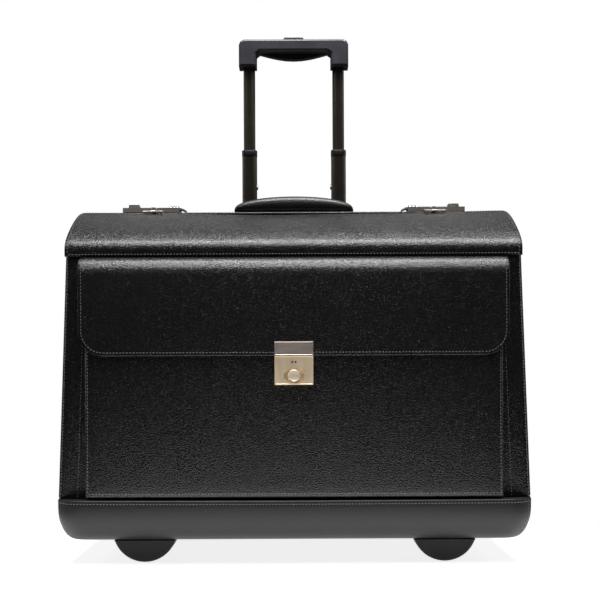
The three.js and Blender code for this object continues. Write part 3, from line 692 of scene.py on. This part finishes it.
def band_point(u, row, shrink=1.0):
    """A point of the band at a share of its outline; shrink pulls it in under the floor."""
    ahead, inset, z = row
    radius = max(6 * MM, BAND_CORNER - inset)
    x, y = perimeter(u, base_high[0] - inset, base_low[1] + ahead, base_high[1] - inset, radius)
    dip = band_dip(x, y) if z > base_high[2] - 2 * MM else 0
    return x * shrink, y * shrink, z - dip


def base_band():
    """The base in its lighter leather: ledge, wall, swept underside, and wells for the wheels."""
    profile = band_profile()
    floors = 4
    rows = len(profile) - 1 + floors

    def place(u, v):
        at = round(v * rows)
        if at < len(profile):
            return band_point(u, profile[at])
        return band_point(u, profile[-1], 1 - (at - len(profile) + 1) / floors)

    band = grid(240, rows, place)
    outward(band)
    thickened(band, BAND_SKIN)
    for low, high in HOUSINGS:
        beyond = (high[0] + WELL_GAP, WELL_BACK, base_high[2] + 20 * MM)
        cut_away(band, box_piece((low[0] - WELL_GAP, low[1] - WELL_GAP, 0), beyond), folded=True)
    done(band, "base_band", BAND_LEATHER, "case", ("base_tray",), angle=50)
    stitches("band_stitches", band_seams(profile), band_out, "case")


def band_seams(profile):
    """The seam along the band's top, broken at the wheels, and one down each front corner."""
    edge = base_high[2] - BAND_SEAM
    near = 3 * MM
    rows, row = [], []
    for i in range(241):
        x, y = perimeter(i / 240, base_high[0], base_low[1], base_high[1], BAND_CORNER)
        if any(y > low[1] - near and low[0] - near < x < high[0] + near for low, high in HOUSINGS):
            if row:
                rows.append(row)
            row = []
        else:
            row.append((x, y, edge - band_dip(x, y)))
    rows.append(row)

    across = 2 * (base_high[0] - BAND_CORNER)
    arc = math.pi / 2 * BAND_CORNER
    around = 2 * across + 2 * (base_high[1] - base_low[1] - 2 * BAND_CORNER) + 4 * arc
    corner = (across / 2 + arc * 0.6) / around
    for u in (corner, 1 - corner):
        rows.append([band_point(u, point) for point in profile[4:-2]])
    return rows


def band_out(point):
    """Roughly outwards from the band: forwards or back, and sideways near the ends."""
    middle = (base_low[1] + base_high[1]) / 2
    side = point.x / base_high[0] if abs(point.x) > base_high[0] - BAND_CORNER else 0
    return side, (point.y - middle) * 8.0, 0


# ---------------------------------------------------------------- the lid


def flap_profile(side):
    """The flap's outer line from its seam up over the bend to the middle, as (y, z)."""
    if side < 0:
        seam, middle = lid_low[1], lid_high[1]
        start = [(seam + LID_TUCK, SEAM_Z), (seam, LID_BEND - 2 * MM)]
    else:
        seam, middle = rear_high[1], rear_low[1]
        start = [(seam, rear_low[2])]
    arch = [seam + (middle - seam) * (i / 24) ** 1.2 for i in range(5, 25)]
    return even(softened(start + [(y, lid_height(y)) for y in arch], 3), 44)


def sag(x, y, z, side):
    """The height of a flap's point: the front flap's loose middle hangs between the latches."""
    if side > 0:
        return z
    across = math.cos(min(1.0, abs(x) / lid_high[0]) * math.pi / 2) ** 1.5
    up = max(0.0, (y - lid_low[1]) / (lid_high[1] - lid_low[1]))
    return z - LID_SAG * across * up ** 1.6 + LID_RIPPLE * math.sin(x * 37 + y * 21) * up


def flap(name, side, body, node):
    """One lid flap, at the front (side -1) or the rear (side 1), stitched near its edges."""
    profile = flap_profile(side)

    def place(u, v):
        position = v * (len(profile) - 1)
        index = min(len(profile) - 2, int(position))
        share = position - index
        y, z = (a * (1 - share) + b * share for a, b in zip(profile[index], profile[index + 1]))
        x = (2 * u - 1) * lid_high[0]
        end = max(0.0, abs(2 * u - 1) - LID_END) / (1 - LID_END)
        return x, y, sag(x, y, z, side) - LID_END_DROP * end ** 2

    skin = grid(120, 44, place)
    outward(skin)
    if skin.data.polygons[len(skin.data.polygons) // 2].normal.z < 0:
        turned_over(skin)
    thickened(skin, LID_SKIN - 0.2 * MM)
    soft_edges(skin, 1.0 * MM, 3, 55)
    done(skin, name, BODY_LEATHER, body, (node,), angle=50)

    rows = []
    for end in (-1, 1):
        x = end * (lid_high[0] - 3 * MM)
        rows.append([(x, y, sag(x, y, z, side)) for y, z in profile[1:-2]])
    edge_y, edge_z = profile[-2]
    xs = [lid_high[0] * (i / 40 - 1) * LID_END for i in range(81)]
    rows.append([(x, edge_y, sag(x, edge_y, edge_z, side)) for x in xs])
    if side < 0:
        rows.append([(x, lid_low[1], SEAM_Z + 1.6 * MM) for x in xs])

    def out(point):
        if point.z < LID_BEND - 6 * MM:
            return 0, side, 0
        return 0, (point.y - LID_MIDDLE) * 6, 1

    stitches(name + "_stitches", rows, out, body)


def carry_handle():
    """A deep padded leather grip with turned-down ends and a stitched edge on each side."""
    low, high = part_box("carry_handle")
    reach, foot, top = high[0], low[2], high[2]
    middle = (low[1] + high[1]) / 2
    belly, full = 0.8 * MM, 4.5 * MM
    steps = 72

    def section(u):
        """The middle of the grip's section, half its height and half its depth."""
        turn = math.pi * u
        x = -reach * math.cos(turn)
        upper = foot + (top - foot) * max(0.0, math.sin(turn)) ** 0.75
        lower = foot - belly * max(0.0, math.sin(turn)) ** 0.3
        half = (upper - lower) / 2
        deep = (high[1] - low[1]) / 2 * min(1.0, half / full) ** 0.6
        return Vector((x, middle, (upper + lower) / 2)), half, deep

    def place(u, v):
        centre, half, deep = section(u)
        turn = 2 * math.pi * v
        across = math.copysign(abs(math.cos(turn)) ** 0.6, math.cos(turn))
        up = math.copysign(abs(math.sin(turn)) ** 0.8, math.sin(turn))
        pinch = 1 - 0.22 * max(0.0, up) ** 2
        return centre + Vector((0, deep * across * pinch, half * up))

    grip = grid(steps, 32, place)
    outward(grip)
    done(grip, "carry_handle_cover", HANDLE_LEATHER, "handle", ("carry_handle",), angle=60)
    rows = []
    for side in (-1, 1):
        row = []
        for i in range(7, steps - 6):
            centre, half, deep = section(i / steps)
            row.append(centre + Vector((0, side * deep * 0.93, half * 0.42)))
        rows.append(row)
    stitches("carry_handle_stitches", rows, lambda point: (0, point.y - middle, 0), "handle",
             pitch=2.8 * MM)


# ---------------------------------------------------------------- the front pocket


POCKET_SKIN = 2.4 * MM
POCKET_MOUTH = 283 * MM
MOUTH_HEM = 4 * MM


def pocket_body():
    """The pocket's leather, open at the back and at the mouth that the flap covers."""
    pouch = box_piece(pocket_low, (pocket_high[0], pocket_high[1], POCKET_MOUTH))
    front = pocket_low[1]

    def below_mouth(a, b):
        return lies_at(front)(a, b) and min(a.z, b.z) < POCKET_MOUTH - 3 * MM

    bevel_edges(pouch, below_mouth, 4.5 * MM, 5)
    edit_faces(pouch, lambda centre, normal: normal.y > 0.9 or normal.z > 0.9)
    bpy.ops.mesh.delete(type="FACE")
    object_mode()
    edit_faces(pouch, lambda centre, normal: normal.y < -0.9)
    bpy.ops.mesh.subdivide(number_cuts=20)
    object_mode()
    thickened(pouch, POCKET_SKIN)
    soft_edges(pouch, 0.8 * MM, angle=55)
    done(pouch, "pocket_body", BODY_LEATHER, "case", ("pocket_shell",), angle=40)

    x, y = pocket_high[0] - 3.4 * MM, front - 0.02 * MM
    low, hem = pocket_low[2] + 4.6 * MM, POCKET_MOUTH - MOUTH_HEM
    rows = [
        [(-x, y, hem), (-x, y, low)],
        [(x, y, hem), (x, y, low)],
        [(-x, y, hem + 0.5 * MM), (x, y, hem + 0.5 * MM)],
        [(-x, y, low), (x, y, low)],
    ]
    stitches("pocket_stitches", rows, (0, -1, 0), "case")


FLAP_CORNER = 25 * MM
FLAP_PUFF = 0.8 * MM
FLAP_PUFF_HIGH = 88 * MM
FLAP_HEM = 3.2 * MM


def flap_half(z):
    """Half the pocket flap's width at a height: straight, then round at its lower corners."""
    half = flap_high[0]
    above = z - flap_low[2]
    if above >= FLAP_CORNER:
        return half
    return half - FLAP_CORNER + math.sqrt(max(0.0, FLAP_CORNER ** 2 - (FLAP_CORNER - above) ** 2))


def pocket_flap():
    """One piece of leather from the seam over the fold to the round-cornered lower edge."""
    front, fold = flap_low[1], flap_high[2]
    line = [
        (root_high[1], SEAM_Z - 1.0 * MM),
        (root_high[1] - 6 * MM, SEAM_Z - 1.9 * MM),
        (front + 5.5 * MM, fold + 5.0 * MM),
        (front + 0.6 * MM, fold - 3.0 * MM),
        (front, fold - 9.0 * MM),
    ]
    curve = even(softened(line, 3), 20)
    bottom = flap_low[2]
    straight = curve[-1][1]
    downs = [(front, straight - (straight - bottom) * i / 48) for i in range(1, 49)]
    profile = curve + downs
    rows = len(profile) - 1

    def puff(u, z):
        """How far the flap's middle bulges forward."""
        return (FLAP_PUFF * math.cos((2 * u - 1) * math.pi / 2)
                * math.sin(math.pi * min(1, (fold - z) / FLAP_PUFF_HIGH)))

    def place(u, v):
        y, z = profile[min(rows, round((1 - v) * rows))]
        if z >= fold:
            return (2 * u - 1) * flap_high[0], y, z
        return (2 * u - 1) * flap_half(z), y - max(0, puff(u, z)), z

    skin = grid(110, rows, place)
    outward(skin)
    front_face = max(skin.data.polygons, key=lambda face: -face.center.y)
    if front_face.normal.y > 0:
        turned_over(skin)
    thickened(skin, POCKET_SKIN)
    soft_edges(skin, 0.8 * MM, angle=55)
    done(skin, "pocket_flap_skin", BODY_LEATHER, None,
         ("pocket_flap", "pocket_flap_root"), angle=50)
    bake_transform(skin)

    ahead = front - 0.1 * MM
    radius = FLAP_CORNER - FLAP_HEM
    edge = [(FLAP_HEM - flap_high[0], ahead, fold - 4 * MM)]
    for i in range(25):
        turn = math.pi + math.pi / 2 * i / 24
        edge.append((FLAP_CORNER - flap_high[0] + radius * math.cos(turn), ahead,
                     bottom + FLAP_CORNER + radius * math.sin(turn)))
    edge += [(-x, y, z) for x, y, z in reversed(edge)]
    stitches("pocket_flap_stitches", [edge], (0, -1, 0), "pocket_lid")


BUTTON_ROOM = 0.6 * MM
ROOM_STRETCH = 1.55
ARROW_SIZE = 1.6 * MM


def lock_plate(name, node, material, body, button=None):
    """A plate with soft edges and a slightly sunk field, and room for a button where it has one."""
    low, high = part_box(node)
    plate = box_piece(low, high)
    bevel_edges(plate, lies_at(low[1]), 0.45 * MM, 2)
    edit_faces(plate, lambda centre, normal: normal.y < -0.95 and abs(centre.x) < 0.1 * MM)
    bpy.ops.mesh.inset(thickness=0.5 * MM, depth=0)
    bpy.ops.mesh.inset(thickness=0.2 * MM, depth=-0.15 * MM)
    object_mode()
    if button:
        b_low, b_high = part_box(button)
        centre = (0, low[1] + 0.6 * MM, (b_low[2] + b_high[2]) / 2)
        room = rod(b_high[0] + BUTTON_ROOM, 4 * MM, centre, 40)
        room.data.transform(Matrix.Diagonal((ROOM_STRETCH, 1, 1, 1)))
        cut_away(plate, room)
    done(plate, name, material, body, (node,), angle=30)


def pocket_lock():
    """The pocket's lock: its plate, the hasp above it, a push button and two arrow marks."""
    lock_plate("lock_plate", "pocket_lock_body", CHAMPAGNE, "case", "pocket_lock_button")
    lock_plate("hasp_plate", "pocket_hasp", TAUPE, "pocket_lid")

    low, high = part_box("pocket_lock_button")
    centre = (0, (low[1] + high[1]) / 2, (low[2] + high[2]) / 2)
    button = rod(high[0], high[1] - low[1], centre, 48)
    soft_edges(button, 0.5 * MM)
    edit_faces(button, lambda at, normal: (normal.y < -0.95
                                           and math.hypot(at.x, at.z - centre[2]) < MM))
    bpy.ops.mesh.inset(thickness=0.7 * MM, depth=-0.3 * MM)
    object_mode()
    done(button, "lock_button_face", PEARL, "lock_button", ("pocket_lock_button",),
         angle=30)

    low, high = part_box("pocket_lock_body")
    for name, side in (("arrow_mark_left", -1), ("arrow_mark_right", 1)):
        deselect()
        place = (side * ARROW_SIZE, low[1] + 0.16 * MM, high[2] - 6 * MM)
        bpy.ops.mesh.primitive_cylinder_add(vertices=3, radius=ARROW_SIZE, depth=0.2 * MM,
                                            location=place,
                                            rotation=(math.pi / 2, side * math.pi / 2, 0))
        arrow = bpy.context.object
        apply_place(arrow)
        done(arrow, name, MARK, "case")


# ---------------------------------------------------------------- pull handle, feet and wheels


TUBE_CORNER = 4 * MM
COLLAR_WALL = 0.3 * MM


def stage_tube(name, node, body):
    """A drawn tube with round corners, a shallow groove down its front and back, and a hollow end."""
    low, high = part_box(node)
    column = box_piece(low, high)
    bevel_edges(column, upright, TUBE_CORNER, 6)
    edit_faces(column, lambda centre, normal: abs(normal.y) > 0.99)
    bpy.ops.mesh.inset(thickness=0.9 * MM, depth=-0.35 * MM, use_individual=True)
    object_mode()
    edit_faces(column, lambda centre, normal: normal.z > 0.9)
    bpy.ops.mesh.inset(thickness=1.3 * MM, depth=0)
    bpy.ops.mesh.extrude_region_move(TRANSFORM_OT_translate={"value": (0, 0, -12 * MM)})
    object_mode()
    soft_edges(column, 0.25 * MM, angle=35)
    done(column, name, TUBE, body, (node,), angle=35)


def pull_handle():
    """Two stages of tube on each side, with a plastic collar round the top of the lower one."""
    for side in ("left", "right"):
        stage_tube("lower_stage_" + side, "lower_tube_" + side, "lower_stage")
        stage_tube("upper_stage_" + side, "upper_tube_" + side, "upper_stage")
        low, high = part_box("lower_tube_" + side)
        collar = box_piece((low[0] - COLLAR_WALL, low[1] - COLLAR_WALL, high[2] - 7 * MM),
                           (high[0] + COLLAR_WALL, high[1] + COLLAR_WALL, high[2] - 0.2 * MM))
        bevel_edges(collar, upright, TUBE_CORNER + 0.2 * MM, 6)
        edit_faces(collar, lambda centre, normal: abs(normal.z) > 0.9)
        bpy.ops.mesh.inset(thickness=1.5 * MM, depth=0)
        bpy.ops.mesh.bridge_edge_loops()
        object_mode()
        soft_edges(collar, 0.5 * MM)
        done(collar, "stage_collar_" + side, PLASTIC, "lower_stage", angle=35)


def rounded_cad(node, material, width, segments=2, angle=32):
    """A CAD node keeps its shape and gets its finish and softly broken edges."""
    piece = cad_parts[node]
    piece.data.materials.clear()
    piece.data.materials.append(material)
    weld = piece.modifiers.new("Weld", "WELD")
    weld.merge_threshold = 0.00001
    edge = piece.modifiers.new("Edges", "BEVEL")
    edge.width = width
    edge.segments = segments
    edge.limit_method = "ANGLE"
    edge.angle_limit = math.radians(angle)
    edge.harden_normals = True


FOOT_RADIUS = 33 * MM


def feet():
    """Half-moon feet: round plates cut level at the top, with soft lower rims."""
    for side in ("left", "right"):
        low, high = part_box("foot_" + side)
        centre = ((low[0] + high[0]) / 2, (low[1] + high[1]) / 2, FOOT_RADIUS)
        disc = rod(FOOT_RADIUS, high[1] - low[1], centre, 96)
        edit_all(disc)
        bpy.ops.mesh.bisect(plane_co=(0, 0, high[2]), plane_no=(0, 0, 1), clear_outer=True,
                            use_fill=True)
        object_mode()
        bevel_edges(disc, lambda a, b: abs(a.y - b.y) < TOUCH and min(a.z, b.z) < high[2] - MM,
                    4 * MM, 5)
        done(disc, "half_moon_foot_" + side, FOOT_PLASTIC, "case", ("foot_" + side,),
             angle=40)


# The tyre in section, in millimetres: from its inner rim up to the tread, as (in from the side,
# radius), and across the tread's two grooves, as (from the middle, radius).
TYRE_SHOULDER = [(0, 22), (0, 28), (1.2, 30), (3.4, 31.4)]
TYRE_TREAD = [(-3.6, 31.95), (-3.2, 31), (-2.2, 31), (-1.8, 32),
              (1.8, 32), (2.2, 31), (3.2, 31), (3.6, 31.95)]


def wheels():
    """Turned tyres with two tread grooves, on the CAD's hubs."""
    for side in ("left", "right"):
        low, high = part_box("tyre_" + side)
        x, y, z = ((a + b) / 2 for a, b in zip(low, high))
        half = (high[0] - low[0]) / 2
        outline = [(a * MM - half, b * MM) for a, b in TYRE_SHOULDER]
        outline += [(a * MM, b * MM) for a, b in TYRE_TREAD]
        outline += [(half - a * MM, b * MM) for a, b in reversed(TYRE_SHOULDER)]

        def place(u, v):
            along, out = outline[min(len(outline) - 1, round(v * (len(outline) - 1)))]
            turn = 2 * math.pi * u
            return x + along, y + out * math.cos(turn), z + out * math.sin(turn)

        ring = grid(72, len(outline) - 1, place)
        outward(ring)
        thickened(ring, 3 * MM)
        done(ring, "wheel_tyre_" + side, RUBBER, "wheel_" + side, ("tyre_" + side,),
             angle=35)
        rounded_cad("hub_" + side, PLASTIC, 0.5 * MM)


def carried_over():
    """The CAD nodes whose own shape is right."""
    finishes = {
        NICKEL: ["latch_body", "latch_knob", "strike", "carry_bracket"],
        STEEL: ["dial_1", "dial_2", "dial_3", "axle", "outer_tube", "snap_button", "release_rod"],
        PLASTIC: ["wheel_housing"],
    }
    for material, names in finishes.items():
        for name in names:
            for side in ("left", "right"):
                rounded_cad(name + "_" + side, material, 0.3 * MM)
    for name in ("bottom_board", "rear_panel"):
        rounded_cad(name, LINING, 0.8 * MM)
    rounded_cad("rear_shelf", BODY_LEATHER, 0.8 * MM)
    for name in ("tube_bracket", "trolley_bezel"):
        rounded_cad(name, PLASTIC, 0.8 * MM)
    for name in ("grip_front", "grip_rear", "release_button"):
        rounded_cad(name, GRIP, 1.0 * MM, 3, 25)


camera_and_studio()
body_wrap()
base_band()
flap("front_flap_skin", -1, "front_lid", "front_flap")
flap("rear_flap_skin", 1, "rear_lid", "rear_flap")
carry_handle()
pocket_body()
pocket_flap()
pocket_lock()
pull_handle()
feet()
wheels()
carried_over()
